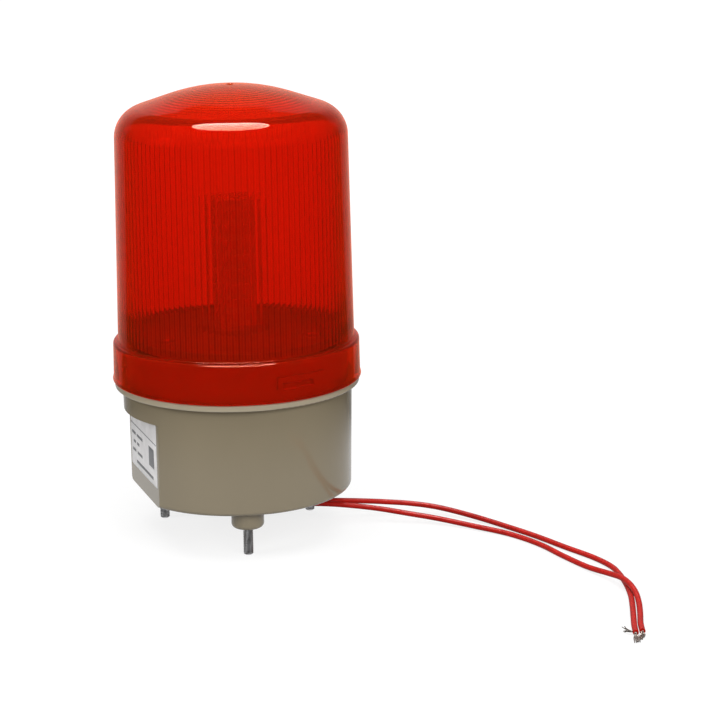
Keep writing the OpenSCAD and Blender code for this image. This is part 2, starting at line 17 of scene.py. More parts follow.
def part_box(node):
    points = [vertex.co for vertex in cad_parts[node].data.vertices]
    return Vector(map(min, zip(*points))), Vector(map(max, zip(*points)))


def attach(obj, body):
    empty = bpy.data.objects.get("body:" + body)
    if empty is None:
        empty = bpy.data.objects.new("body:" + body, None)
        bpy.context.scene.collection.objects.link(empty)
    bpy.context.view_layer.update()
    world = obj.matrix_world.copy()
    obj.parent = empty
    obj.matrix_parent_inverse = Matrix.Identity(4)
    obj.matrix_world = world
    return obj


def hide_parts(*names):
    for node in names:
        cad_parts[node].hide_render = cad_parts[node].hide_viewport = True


bl_info = {
    "name": "Sound and light alarm",
    "version": (1, 0, 0),
    "blender": (4, 5, 0),
    "location": "View3D > Sidebar > Alarm",
    "description": "Builds the looks of a warning beacon around its packed model",
    "category": "Object",
}

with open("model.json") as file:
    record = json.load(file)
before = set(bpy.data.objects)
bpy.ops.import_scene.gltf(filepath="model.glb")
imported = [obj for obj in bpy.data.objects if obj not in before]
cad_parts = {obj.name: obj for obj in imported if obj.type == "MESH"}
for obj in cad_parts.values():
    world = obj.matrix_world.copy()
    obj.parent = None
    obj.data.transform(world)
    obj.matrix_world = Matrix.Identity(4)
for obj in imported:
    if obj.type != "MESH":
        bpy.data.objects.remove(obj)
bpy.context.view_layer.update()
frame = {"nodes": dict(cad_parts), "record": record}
NODES = frame["nodes"]
LENS_LOW, LENS_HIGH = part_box("lens")
STUD_LOW, STUD_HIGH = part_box("mounting_studs")
STUD_MOUNT = frame["record"]["mounts"][0]
MM = 0.001

# Points nearer than the first are one, and faces narrower than the second are dropped
SAME_POINT, SLIVER = 1e-7, 1e-8
# Most of a noise's values lie between these
NOISE_LOW, NOISE_HIGH = 0.3, 0.7
# Heights between which the lens's dome and its crown take their paler tints of painted light
DOME_HEIGHTS, CROWN_HEIGHTS = (0.17, 0.176), (0.175, 0.18)
# Starts of the random draws for the ribs, the strands in a row and the stray ones
RIB_SEED, STRAND_SEED, STRAY_SEED = 5, 7, 3
UP = np.array([0, 0, 1.0])

# Routes of the two leads in millimetres, from the driver board through the grommet to the bare end
LEAD_ROUTES = (
    (
        (0, 2, 35), (0, 2, 28), (0, 2, 21.6), (0, 2, 17), (1.2, 1.8, 12.8), (4.6, 1.2, 10),
        (10, 0, 9.1), (18, -1.5, 9), (28, -3.5, 8.8), (40, -5.5, 8), (50, -6, 6.8), (60, -6.5, 5.4),
        (71, -9, 4.1), (81, -15, 3), (91, -28, 2), (100, -45, 1.3), (106, -60, 1.2),
        (111, -76, 1.2), (116, -91, 1.2), (118, -103, 1.2), (117, -113, 1.2),
        (114.4, -124, 1.2), (110.6, -135.5, 1.2), (106.6, -145, 1.2), (102.3, -154.5, 1.2),
        (98.3, -163.3, 1.2), (95.4, -170.5, 1.2),
    ),
    (
        (0, -2, 35), (0, -2, 28), (0, -2, 21.6), (0, -2, 17), (1.2, -2.2, 12.8), (4.6, -2.8, 10),
        (10, -4, 9.1), (18, -5.5, 9), (27, -7, 8.7), (36, -9, 8), (46, -11, 6.6), (56, -14, 5),
        (66, -20, 3.6), (76, -27, 2.4), (87, -39, 1.5), (97, -53, 1.2), (103, -69, 1.2),
        (106, -86, 1.2), (109, -101, 1.4), (112, -114, 2.6), (112.8, -123, 3.8), (112.6, -130.6, 3.8),
        (111.6, -137.8, 2.8), (109.2, -145.2, 1.6), (105.4, -153.8, 1.2), (101.2, -162.6, 1.2),
        (98.2, -170.2, 1.2),
    ),
)


def metres(name, description, default):
    """A length in metres that a user may change."""
    return FloatProperty(name=name, description=description, default=default, unit="LENGTH", precision=5)


def number(name, description, default, unit="NONE"):
    """A number that a user may change."""
    return FloatProperty(name=name, description=description, default=default, unit=unit)


def fraction(name, description, default):
    """A share between 0 and 1 that a user may change."""
    return FloatProperty(name=name, description=description, default=default, subtype="FACTOR", min=0, max=1)


def whole(name, description, default):
    """A whole number that a user may change."""
    return IntProperty(name=name, description=description, default=default)


def degrees(name, description, default):
    """An angle that a user may change, given in degrees."""
    return FloatProperty(
        name=name, description=description, default=math.radians(default), subtype="ANGLE"
    )


def tone(name, description, default):
    """A linear colour that a user may change."""
    return FloatVectorProperty(
        name=name, description=description, default=default, subtype="COLOR", size=3, min=0, max=1
    )


class AlarmLens(bpy.types.PropertyGroup):
    """Sizes and tint of the lens."""

    tint: tone("Tint", "Colour that one wall of the lens lets through", (0.725, 0.055, 0.01))
    # Painted light: the dome and its crown are tinted paler and more orange, as where light from above falls
    # through them
    dome_painted_light: tone("Dome tint", "Colour that the plain dome lets through", (0.9, 0.058, 0.01))
    crown_painted_light: tone("Crown tint", "Colour that the dome's crown lets through", (1.0, 0.2, 0.025))
    # Painted shade: at the grooves the lens colour is darkened in stripes, in place of the dark lines that
    # the ribs bend into the light
    groove_painted_shade: tone("Groove tint", "How far a groove darkens the tint", (0.3, 0.22, 0.15))
    gleam: tone("Gleam", "Tint of the reflections on the lens seen head on", (1.0, 0.2, 0.1))
    glow: tone("Glow", "Colour of the milky glow seen at a low angle", (1.0, 0.16, 0.03))
    haze: fraction("Haze", "Share of light that the plastic scatters", 0.1)
    depth_colour: tone("Depth colour", "Colour that thick plastic keeps", (1.0, 0.05, 0.0))
    depth_density: number("Depth density", "How fast the plastic darkens", 300)
    skirt_lip: metres("Skirt lip", "Width of the lip at the skirt's lower edge", 0.0004)
    skirt_lip_h: metres("Lip height", "Height of the lip", 0.0018)
    skirt_r_top: metres("Skirt top radius", "Radius of the skirt under its top corner", 0.0494)
    skirt_h: metres("Skirt height", "Height of the skirt", 0.01565)
    skirt_wall: metres("Skirt wall", "Wall thickness of the skirt", 0.0022)
    skirt_round: metres("Skirt corner", "Rounding of the skirt's top corner", 0.0012)
    step_t: metres("Step", "Thickness of the step between skirt and wall", 0.00075)
    bead_w: metres("Bead width", "Width of the bead round the foot of the wall", 0.0007)
    bead_h: metres("Bead height", "Height of that bead", 0.0008)
    wall_low: metres("Wall foot radius", "Radius of the wall just above the skirt", 0.0474)
    wall_high: metres("Wall top radius", "Radius of the wall at the shoulder", 0.046)
    dome_t: metres("Dome thickness", "Thickness of the dome", 0.0023)
    shoulder_r: metres("Shoulder", "Rounding radius of the shoulder", 0.0125)
    cone_slope: degrees("Dome slope", "Slope of the dome's cone", 19)
    crown_r: metres("Crown", "Radius of the dome's crown", 0.08)
    gate_r: metres("Gate radius", "Radius of the gate mark at the top", 0.0013)
    gate_h: metres("Gate height", "Height of the gate mark in the packed model", 0.0006)
    gate_seen: metres("Gate step", "Height of the worn gate mark", 0.0003)
    rib_count: whole("Ribs", "Number of ribs inside the wall", 120)
    rib_depth: metres("Rib depth", "Depth of the grooves between the ribs", 0.0003)
    # Painted shade: the weakest strength of a rib's dark stripe
    faintest_rib_shade: fraction("Faintest rib", "Strength of the faintest stripe", 0.6)
    rib_second: fraction("Second groove", "Depth of the groove that splits a rib, as a share", 0.57)
    rib_start: metres("Band below ribs", "Plain band of wall below the ribs", 0.0012)
    rib_rise: metres("Rib rise", "Height that the ribs run up into the shoulder", 0.0045)
    rib_fade: metres("Rib fade", "Height over which the grooves fade out at the top", 0.003)
    lug_reach: metres("Lug reach", "Radius that the twist lock's lugs reach", 0.0456)
    lug_lift: metres("Lug lift", "Height of the lugs above the skirt's lower edge", 0.0045)
    lug_t: metres("Lug thickness", "Thickness of a lug", 0.0022)
    lug_start: degrees("Lug start", "Angle at which the first lug starts", 35.51)
    lug_arc: degrees("Lug arc", "Arc that a lug covers", 16)


class AlarmBase(bpy.types.PropertyGroup):
    """Finish of the base and size of its label."""

    colour: tone("Base colour", "Colour of the moulded base", (0.245, 0.204, 0.135))
    # Painted light: the rim is paler than the base, as where its face catches light from above
    rim_painted_light: tone("Rim colour", "Colour of the thin rim", (0.4, 0.345, 0.25))
    collar_colour: tone("Collar colour", "Colour of the collar inside the lens", (0.6, 0.52, 0.38))
    rim_z: metres("Rim height", "Height of the rim's lower edge above the stud tips", 0.0621)
    rim_h: metres("Rim thickness", "Height of the rim", 0.0025)
    zinc: tone("Zinc", "Colour of the studs and screws", (0.76, 0.76, 0.77))
    paper: tone("Label", "Colour of the label's paper", (0.85, 0.83, 0.83))
    print_grey: tone("Print", "Colour of the plain bars on the label", (0.15, 0.15, 0.16))
    flat_d: metres("Flat distance", "Distance of the label flat from the axis", 0.0398)
    label_w: metres("Label width", "Width of the label", 0.0405)
    label_h: metres("Label height", "Height of the label", 0.0264)
    label_z: metres("Label foot", "Height of the label's lower edge above the stud tips", 0.0265)
    stud_turn: degrees("Stud turn", "Turn of the stud pattern", 18)
    thread_pitch: metres("Thread pitch", "Pitch of the stud thread", 0.0007)
    thread_depth: metres("Thread depth", "Depth of the stud thread", 0.00038)


class AlarmLeads(bpy.types.PropertyGroup):
    """Sizes and colours of the two leads."""

    colour: tone("Insulation", "Colour of the insulation", (0.45, 0.009, 0.004))
    tin: tone("Strands", "Colour of the tinned strands", (0.42, 0.37, 0.33))
    diameter: metres("Diameter", "Outer diameter of a lead", 0.0022)
    length_1: metres("First length", "Length of the first lead", 0.275)
    length_2: metres("Second length", "Length of the second lead", 0.26)
    strand_r: metres("Strand radius", "Radius of one bare strand", 0.00016)
    strand_count: whole("Strands", "Strands at each lead's end", 11)
    stray_count: whole("Stray strands", "Strands bent off at the first lead's end", 7)


class AlarmStage(bpy.types.PropertyGroup):
    """Camera, floor and lamps."""

    distance: metres("Camera distance", "Distance of the camera from the axis", 0.9)
    height: metres("Camera height", "Height of the camera above the floor", 0.2981)
    azimuth: degrees("Camera azimuth", "Side that the camera stands on", -16.29)
    turn: degrees("Camera turn", "Direction that the camera looks along", -19.45)
    tilt: degrees("Camera tilt", "Angle that the camera looks down", 14.25)
    roll: degrees("Camera roll", "Roll of the camera", -0.7)
    focal: number("Focal length", "Focal length in millimetres", 114.9, "CAMERA")
    floor_half: metres("Floor", "Half the width of the floor", 6.0)
    overhead_power: number("Overhead", "Power of the overhead lamp", 12, "POWER")
    fill_power: number("Fill", "Power of the front fill lamp", 26, "POWER")
    side_power: number("Side", "Power of the lamp on the label's side", 10, "POWER")
    gloss_power: number("Gloss", "Power of the lamp that only gloss shows", 36, "POWER")
    glow_near: fraction("Near glow", "White that the floor shows near the alarm", 0.8)
    glow_far: fraction("Far glow", "White that the floor shows far off", 1.0)
    floor_grey: fraction("Floor", "Share of light that the floor scatters", 0.22)
    room: fraction("Room", "Brightness of the room above the sweep", 0.12)
    dark: fraction("Dark", "Brightness of the dim room that gloss shows", 0.015)
    backdrop_turn: degrees("Backdrop turn", "Turn of the backdrop's middle to the left", 6)
    backdrop: fraction("Backdrop", "Brightness of the backdrop that gloss shows", 0.62)


def arc(centre_r, centre_z, radius, start, stop, count):
    """Points on a circle in the half plane of radius and height, between two angles in degrees."""
    angle = np.radians(np.linspace(start, stop, count))
    return np.stack([centre_r + radius * np.cos(angle), centre_z + radius * np.sin(angle)], 1)


def turned(r, angle, z, centre=(0, 0)):
    """Points of a turned shape: radii and angles round an upright axis, at heights."""
    r, angle, z = np.broadcast_arrays(r, angle, z)
    return np.stack([centre[0] + r * np.cos(angle), centre[1] + r * np.sin(angle), z], -1)


def grid_quads(rows, columns, loop_rows=False):
    """Corner numbers of the faces of a grid whose columns close on themselves."""
    row = np.arange(rows if loop_rows else rows - 1)[:, None]
    column = np.arange(columns)[None, :]
    ahead_row, ahead_column = (row + 1) % rows, (column + 1) % columns
    corners = [
        row * columns + column, row * columns + ahead_column,
        ahead_row * columns + ahead_column, ahead_row * columns + column,
    ]
    return np.stack(np.broadcast_arrays(*corners), -1).reshape(-1, 4)


def placed(name, data):
    """A new object in the scene that shows a mesh, curve, lamp or camera."""
    made = bpy.data.objects.new(name, data)
    bpy.context.scene.collection.objects.link(made)
    return made


def new_piece(name, points, quads, material, body, sharp_degrees=50, marks=()):
    """A closed mesh piece: doubles merged, faces outwards, smooth except at sharp corners.

    Each mark is a name and a number for each point, which the finish can read.
    """
    mesh = bpy.data.meshes.new(name)
    mesh.from_pydata(np.asarray(points).reshape(-1, 3).tolist(), [], np.asarray(quads).tolist())
    for key, values in marks:
        mesh.attributes.new(key, "FLOAT", "POINT").data.foreach_set("value", np.ravel(values))
    work = bmesh.new()
    work.from_mesh(mesh)
    bmesh.ops.remove_doubles(work, verts=work.verts, dist=SAME_POINT)
    bmesh.ops.dissolve_degenerate(work, edges=work.edges, dist=SLIVER)
    bmesh.ops.recalc_face_normals(work, faces=work.faces)
    work.to_mesh(mesh)
    work.free()
    mesh.shade_smooth()
    mesh.set_sharp_from_angle(angle=math.radians(sharp_degrees))
    mesh.materials.append(material)
    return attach(placed(name, mesh), body)


def join_grids(grids):
    """One list of points and faces from several (points, faces) grids."""
    points, quads, start = [], [], 0
    for grid_points, grid_faces in grids:
        flat = np.asarray(grid_points).reshape(-1, 3)
        points.append(flat)
        quads.append(np.asarray(grid_faces) + start)
        start += len(flat)
    return np.concatenate(points), np.concatenate(quads)


def smooth_route(points, steps):
    """The smooth curve through a route's points, with an even number of steps in each stretch.

    Each stretch is a cubic whose slope at a point is half the step between its two neighbours.
    """
    route = np.asarray(points, float)
    held = np.concatenate([route[:1], route, route[-1:]])
    a, b, c, d = held[:-3, None], held[1:-2, None], held[2:-1, None], held[3:, None]
    t = (np.arange(steps) / steps)[None, :, None]
    curve = b + t / 2 * ((c - a) + t * (2 * a - 5 * b + 4 * c - d) + t * t * (3 * b - 3 * c + d - a))
    return np.concatenate([curve.reshape(-1, 3), route[-1:]])


def tube_grid(path, radius, sides):
    """A round tube along a path, closed by a point at each end.

    A ring's point is the path's point plus the radius times a turn between two ways square to the path.
    """
    off_path = np.array([0.6, 0.6, 0.5])
    path = np.asarray(path, float)
    way = np.gradient(path, axis=0)
    way /= np.linalg.norm(way, axis=1, keepdims=True)
    side = np.cross(way, off_path)
    side /= np.linalg.norm(side, axis=1, keepdims=True)
    up = np.cross(way, side)
    angle = np.linspace(0, 2 * math.pi, sides, endpoint=False)[None, :, None]
    rings = path[:, None] + radius * (np.cos(angle) * side[:, None] + np.sin(angle) * up[:, None])
    ends = [np.repeat(path[i][None, None], sides, 1) for i in (0, -1)]
    rings = np.concatenate([ends[0], rings, ends[1]])
    return rings, grid_quads(len(rings), sides)


def finish(name, **sockets):
    """A new material with its shader, and the shader's sockets set by name."""
    made = bpy.data.materials.new(name)
    made.use_nodes = True
    shader = made.node_tree.nodes["Principled BSDF"]
    for key, value in sockets.items():
        socket = shader.inputs[key.replace("_", " ")]
        socket.default_value = (*value, 1.0) if isinstance(value, tuple) and len(value) == 3 else value
    return made, made.node_tree, shader


def add(tree, kind, **values):
    """A node of a kind, with its settings and its input sockets set by name."""
    node = tree.nodes.new(kind)
    for key, value in values.items():
        if hasattr(node, key):
            setattr(node, key, value)
        else:
            node.inputs[key.replace("_", " ")].default_value = value
    return node


def object_noise(tree, scale, detail=3.0, stretch=(1, 1, 1)):
    """Noise on object coordinates, stretched along the axes."""
    place = add(tree, "ShaderNodeTexCoord")
    mapping = add(tree, "ShaderNodeMapping", Scale=stretch)
    noise = add(tree, "ShaderNodeTexNoise", Scale=scale, Detail=detail)
    tree.links.new(place.outputs["Object"], mapping.inputs["Vector"])
    tree.links.new(mapping.outputs["Vector"], noise.inputs["Vector"])
    return noise.outputs["Fac"]


def vary(tree, factor, socket, low, high):
    """Feeds a socket a number that runs from low to high with a factor."""
    span = add(
        tree, "ShaderNodeMapRange", From_Min=NOISE_LOW, From_Max=NOISE_HIGH, To_Min=low, To_Max=high
    )
    tree.links.new(factor, span.inputs["Value"])
    tree.links.new(span.outputs["Result"], socket)


def two_tone(tree, factor, dark, light):
    """A blend of two colours by a noise's factor."""
    ramp = add(tree, "ShaderNodeValToRGB")
    stops = ((NOISE_LOW, dark), (NOISE_HIGH, light))
    for stop, (position, colour) in zip(ramp.color_ramp.elements, stops):
        stop.position = position
        stop.color = (*colour, 1)
    tree.links.new(factor, ramp.inputs["Fac"])
    return ramp.outputs["Color"]


def change_by(tree, factor, colour, other, blend="MULTIPLY"):
    """A colour that another multiplies or replaces where a factor is 1."""
    mix = add(tree, "ShaderNodeMix", data_type="RGBA", blend_type=blend)
    share_in, colour_in, other_in, colour_out = mix.inputs[0], mix.inputs[6], mix.inputs[7], mix.outputs[2]
    other_in.default_value = (*other, 1)
    tree.links.new(factor, share_in)
    tree.links.new(colour, colour_in)
    return colour_out


def soft_step(tree, value, edge, full, low, high):
    """A smooth step of a value, from low at the edge to high where it is full."""
    step = add(
        tree, "ShaderNodeMapRange", interpolation_type="SMOOTHSTEP",
        From_Min=edge, From_Max=full, To_Min=low, To_Max=high,
    )
    tree.links.new(value, step.inputs["Value"])
    return step.outputs["Result"]


def height_step(tree, edge, full):
    """A smooth step from 0 to 1 over the height on a piece."""
    place = add(tree, "ShaderNodeTexCoord")
    split = add(tree, "ShaderNodeSeparateXYZ")
    tree.links.new(place.outputs["Object"], split.inputs["Vector"])
    return soft_step(tree, split.outputs["Z"], edge, full, 0, 1)


def bump_by(tree, shader, factor, distance, strength):
    """Raises the surface by a factor, to a height in metres."""
    bump = add(tree, "ShaderNodeBump", Strength=strength, Distance=distance)
    tree.links.new(factor, bump.inputs["Height"])
    tree.links.new(bump.outputs["Normal"], shader.inputs["Normal"])


def shade(colour, factor):
    """A colour made darker or lighter by a factor."""
    return tuple(min(1.0, c * factor) for c in colour)


def lens_finish(look):
    """Clear red plastic with a faint haze, a faint waviness left by the mould, and deeper red edges, with
    painted shade in stripes at the grooves and painted light on the dome.
    """
    made, tree, shader = finish(
        "lens_clear_red",
        Roughness=0.03, IOR=1.33, Transmission_Weight=1 - look.haze, Specular_Tint=tuple(look.gleam),
        Sheen_Weight=1.0, Sheen_Roughness=0.3, Sheen_Tint=tuple(look.glow),
    )
    flow = object_noise(tree, 30, stretch=(1, 1, 0.4))
    groove = add(tree, "ShaderNodeAttribute", attribute_name="groove")
    dome = height_step(tree, *DOME_HEIGHTS)
    crown = height_step(tree, *CROWN_HEIGHTS)
    tint = two_tone(tree, flow, shade(look.tint, 0.97), shade(look.tint, 1.02))
    # Painted shade: the colour is darkened in stripes at the ribs' grooves
    tint = change_by(tree, groove.outputs["Fac"], tint, look.groove_painted_shade)
    # Painted light: the dome, and above it the crown, take paler tints by height
    tint = change_by(tree, dome, tint, look.dome_painted_light, "MIX")
    tint = change_by(tree, crown, tint, look.crown_painted_light, "MIX")
    tree.links.new(tint, shader.inputs["Base Color"])
    mould_wave = 0.04 * MM
    bump_by(tree, shader, object_noise(tree, 55, 1.0), mould_wave, 0.1)
    depth = add(
        tree, "ShaderNodeVolumeAbsorption", Color=(*look.depth_colour, 1), Density=look.depth_density
    )
    tree.links.new(depth.outputs["Volume"], tree.nodes["Material Output"].inputs["Volume"])
    return made


def base_finish(look):
    """Moulded plastic, satin, with a fine spark grain, a little flow in the colour, a paler collar, and a
    rim painted paler as painted light.
    """
    made, tree, shader = finish("base_beige_plastic", IOR=1.45, Coat_Weight=0.3, Coat_Roughness=0.03)
    flow = object_noise(tree, 24, stretch=(1, 1, 0.35))
    tint = two_tone(tree, flow, shade(look.colour, 0.96), shade(look.colour, 1.03))
    soft, spark_grain = 0.1 * MM, 0.004 * MM
    # The rim's paler colour is painted light on its face; above it the collar takes its own paler colour
    for level, colour in ((look.rim_z, look.rim_painted_light), (look.rim_z + look.rim_h, look.collar_colour)):
        tint = change_by(tree, height_step(tree, level - soft, level + soft), tint, colour, "MIX")
    tree.links.new(tint, shader.inputs["Base Color"])
    vary(tree, object_noise(tree, 160), shader.inputs["Roughness"], 0.08, 0.13)
    bump_by(tree, shader, object_noise(tree, 700, 2.0), spark_grain, 0.5)
    return made


def zinc_finish(look):
    """Zinc plate: grey metal with cloudy gloss."""
    made, tree, shader = finish("zinc_plate", Metallic=1.0)
    cloud = object_noise(tree, 420)
    tint = two_tone(tree, cloud, shade(look.zinc, 0.8), shade(look.zinc, 1.1))
    tree.links.new(tint, shader.inputs["Base Color"])
    vary(tree, cloud, shader.inputs["Roughness"], 0.28, 0.46)
    return made


def plain_finish(name, colour, rough=(0.4, 0.5), scale=300, grain=0.005 * MM, **sockets):
    """A moulded or lacquered finish with slight colour, gloss and grain changes."""
    made, tree, shader = finish(name, **sockets)
    cloud = object_noise(tree, scale)
    tint = two_tone(tree, cloud, shade(colour, 0.9), shade(colour, 1.08))
    tree.links.new(tint, shader.inputs["Base Color"])
    vary(tree, cloud, shader.inputs["Roughness"], *rough)
    bump_by(tree, shader, object_noise(tree, scale * 8), grain, 0.3)
    return made


def dress(material, *nodes):
    """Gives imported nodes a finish."""
    for name in nodes:
        slots = NODES[name].data.materials
        slots.clear()
        slots.append(material)


def lens_outside(look, skirt_top, apex_z, shoulder_x, shoulder_z):
    """Outer profile of the lens, from the lower edge of the skirt up to the gate mark.

    Arcs and straight stretches follow one another, and the crown's arc meets the cone at its slope.
    """
    edge, fillet, bead_round, gate_round = 0.25 * MM, 0.2 * MM, 0.35 * MM, 0.1 * MM
    bead_r, bead_z = look.wall_low + look.bead_w, skirt_top + look.bead_h
    slope = math.degrees(look.cone_slope)
    crown_low = arc(0, apex_z - look.crown_r, look.crown_r, 90 - slope, 90 - slope, 1)[0]
    shoulder_top = arc(shoulder_x, shoulder_z, look.shoulder_r, 90 - slope, 90 - slope, 1)[0]
    gate_angle = math.degrees(math.acos(look.gate_r / look.crown_r))
    gate_top = apex_z + look.gate_seen
    return np.concatenate([
        arc(LENS_HIGH.x - edge, LENS_LOW.z + edge, edge, -90, 0, 4),
        [(LENS_HIGH.x - look.skirt_lip, LENS_LOW.z + look.skirt_lip_h)],
        arc(look.skirt_r_top - look.skirt_round, skirt_top - look.skirt_round, look.skirt_round, 0, 90, 7),
        arc(bead_r + fillet, skirt_top + fillet, fillet, 270, 180, 4),
        arc(bead_r - bead_round, bead_z - bead_round, bead_round, 0, 90, 5),
        arc(look.wall_low + fillet, bead_z + fillet, fillet, 270, 180, 4),
        np.linspace((look.wall_low, bead_z + fillet), (look.wall_high, shoulder_z), 5)[1:-1],
        arc(shoulder_x, shoulder_z, look.shoulder_r, 0, 90 - slope, 14),
        np.linspace(shoulder_top, crown_low, 4)[1:-1],
        arc(0, apex_z - look.crown_r, look.crown_r, 90 - slope, gate_angle, 8),
        [(look.gate_r * 0.94, gate_top - gate_round), (look.gate_r * 0.8, gate_top), (0, gate_top)],
    ])


def lens_inside(look, skirt_top, apex_z, shoulder_x, shoulder_z):
    """Inner profile of the lens, from the middle of the dome down to the skirt's lower edge.

    Fine turning rings ripple the dome's crown, and fade out at both ends.
    """
    ring_pitch, ring_height, ring_rows = 1.9 * MM, 0.05 * MM, 105
    slope = math.degrees(look.cone_slope)
    crown = look.crown_r - look.dome_t
    shoulder = look.shoulder_r - look.dome_t
    centre_z = apex_z - look.crown_r
    crown_low = arc(0, centre_z, crown, 90 - slope, 90 - slope, 1)[0]
    shoulder_top = arc(shoulder_x, shoulder_z, shoulder, 90 - slope, 90 - slope, 1)[0]
    radius = np.linspace(0, shoulder_top[0], ring_rows)
    round_z = centre_z + np.sqrt(crown**2 - np.minimum(radius, crown_low[0])**2)
    cone_z = np.maximum(radius - crown_low[0], 0) * math.tan(look.cone_slope)
    fade = np.sin(math.pi * radius / shoulder_top[0])
    ripple = ring_height * fade * np.sin(2 * math.pi * radius / ring_pitch)
    rings = np.stack([radius, round_z - cone_z + ripple], 1)
    bore = look.wall_high - look.dome_t
    step_z = skirt_top - look.step_t
    rib_low = skirt_top + look.rib_start
    ramp, lug_edge = 0.5 * MM, 0.05 * MM
    skirt_in_top, skirt_in = look.skirt_r_top - look.skirt_wall, LENS_HIGH.x - look.skirt_wall
    lug_low = LENS_LOW.z + look.lug_lift
    lug_high = lug_low + look.lug_t
    skirt_z = np.array([step_z, lug_high + lug_edge, lug_high, lug_low, lug_low - lug_edge, LENS_LOW.z])
    skirt_r = np.interp(skirt_z, [LENS_LOW.z, step_z], [skirt_in, skirt_in_top])
    return np.concatenate([
        rings,
        arc(shoulder_x, shoulder_z, shoulder, 90 - slope, 0, 13)[1:],
        np.linspace((bore, shoulder_z), (bore, rib_low), 4)[1:],
        [(bore, rib_low - ramp), (bore, step_z)],
        np.stack([skirt_r, skirt_z], 1),
    ])


def lens_grid(look):
    """The lens as one closed surface: both profiles turned about the axis, and each point's stripe of
    painted shade.

    Each rib's pitch has a groove and a fainter one halfway, and the lugs stand in from the skirt.
    Every rib's stripe of painted shade has its own strength, is strongest at the foot, and fades out in the
    shoulder.
    """
    apex_z = LENS_HIGH.z - look.gate_h
    skirt_top = LENS_LOW.z + look.skirt_h
    shoulder_x = look.wall_high - look.shoulder_r
    crown_low_r = look.crown_r * math.sin(look.cone_slope)
    cone_low_r = shoulder_x + look.shoulder_r * math.sin(look.cone_slope)
    cone_low_z = (
        apex_z - look.crown_r * (1 - math.cos(look.cone_slope))
        - (cone_low_r - crown_low_r) * math.tan(look.cone_slope)
    )
    shoulder_z = cone_low_z - look.shoulder_r * math.cos(look.cone_slope)
    levels = (skirt_top, apex_z, shoulder_x, shoulder_z)
    outside, inside = lens_outside(look, *levels), lens_inside(look, *levels)
    # Four places across a rib's pitch, and how deep the grooves are there
    share = np.array([0.0, 0.25, 0.5, 0.75])
    cut = np.array([1.0, 0.0, look.rib_second, 0.0])
    columns = len(share) * look.rib_count
    pitch = 2 * math.pi / look.rib_count
    angle = (np.arange(look.rib_count)[:, None] * pitch + share * pitch).reshape(1, -1)
    groove = np.tile(cut, look.rib_count)[None, :]
    profile = np.concatenate([outside, inside])
    r, z = np.repeat(profile[:, :1], columns, 1), profile[:, 1:]
    inner = np.arange(len(profile))[:, None] >= len(outside)
    tiny = 1e-6
    rib_low, rib_high = skirt_top + look.rib_start - tiny, shoulder_z + look.rib_rise
    ribbed = inner & (z >= rib_low) & (z <= rib_high)
    fade = np.clip((rib_high - z) / look.rib_fade, 0, 1)
    r = r + ribbed * fade * look.rib_depth * groove
    lug_low = LENS_LOW.z + look.lug_lift - tiny
    lug_spacing = 2 * math.pi / 3
    past_lug = np.mod(angle - look.lug_start, lug_spacing)
    lugged = inner & (z >= lug_low) & (z <= lug_low + look.lug_t + 2 * tiny) & (past_lug < look.lug_arc)
    r = np.where(lugged, look.lug_reach, r)
    points = turned(r, angle, z)
    quads = grid_quads(len(profile), columns, loop_rows=True).reshape(len(profile), columns, 4)
    # The profiles end and start on the axis, with no face between them
    keep = np.arange(len(profile)) != len(outside) - 1
    # Each rib's stripe of painted shade gets its own strength, and is strongest at the foot of the wall
    own = np.random.default_rng(RIB_SEED).uniform(look.faintest_rib_shade, 1, (look.rib_count, 1))
    foot_share, upper_strength = 0.3, 0.75
    foot_top = rib_low + foot_share * (rib_high - rib_low)
    stripe = (own * cut).reshape(1, -1) * np.interp(z, [rib_low, foot_top], [1.0, upper_strength])
    return points, quads[keep].reshape(-1, 4), ribbed * fade * stripe


class ALARM_OT_lens(bpy.types.Operator):
    """Builds the red lens with its ribs, skirt and lugs"""

    bl_idname = "alarm.lens"
    bl_label = "Lens"

    def execute(self, context):
        look = context.scene.alarm_lens
        points, quads, stripe = lens_grid(look)
        # The groove mark carries the stripes of painted shade into the finish
        lens = new_piece("ribbed_lens", points, quads, lens_finish(look), "lens", marks=[("groove", stripe)])
        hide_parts("lens")
        return {"FINISHED"}


class ALARM_OT_base(bpy.types.Operator):
    """Finishes the moulded base, its grommet and the seal under the lens"""

    bl_idname = "alarm.base"
    bl_label = "Base"

    def execute(self, context):
        look = context.scene.alarm_base
        dress(base_finish(look), "base_housing")
        rubber = plain_finish("black_rubber", (0.018, 0.018, 0.019), (0.55, 0.7), 500, 0.01 * MM)
        dress(rubber, "wire_grommet")
        dress(plain_finish("pale_silicone", (0.6, 0.57, 0.51), (0.4, 0.5), 500), "lens_seal")
        return {"FINISHED"}


def thread_grid(centre, foot_z, top_z, radius, pitch, depth):
    """One threaded stud: a radius that falls and rises once each pitch along a helix.

    The tip is chamfered, and a point closes each end.
    """
    sides, rows_per_pitch = 28, 6
    steepness, root_flat, tip_share = 1.35, 0.15, 0.72
    rows = int((top_z - foot_z) / pitch * rows_per_pitch)
    z = np.linspace(foot_z, top_z, rows)[:, None]
    angle = np.linspace(0, 2 * math.pi, sides, endpoint=False)[None, :]
    phase = np.mod((z - foot_z) / pitch - angle / (2 * math.pi), 1.0)
    flank = np.clip(np.abs(2 * phase - 1) * steepness - root_flat, 0, 1)
    r = radius - depth * (1 - flank)
    r = np.minimum(r, radius * tip_share + (z - foot_z))
    ends = [np.tile((*centre, level), (1, sides, 1)) for level in (foot_z, top_z)]
    points = np.concatenate([ends[0], turned(r, angle, z, centre), ends[1]])
    return points, grid_quads(len(points), sides)


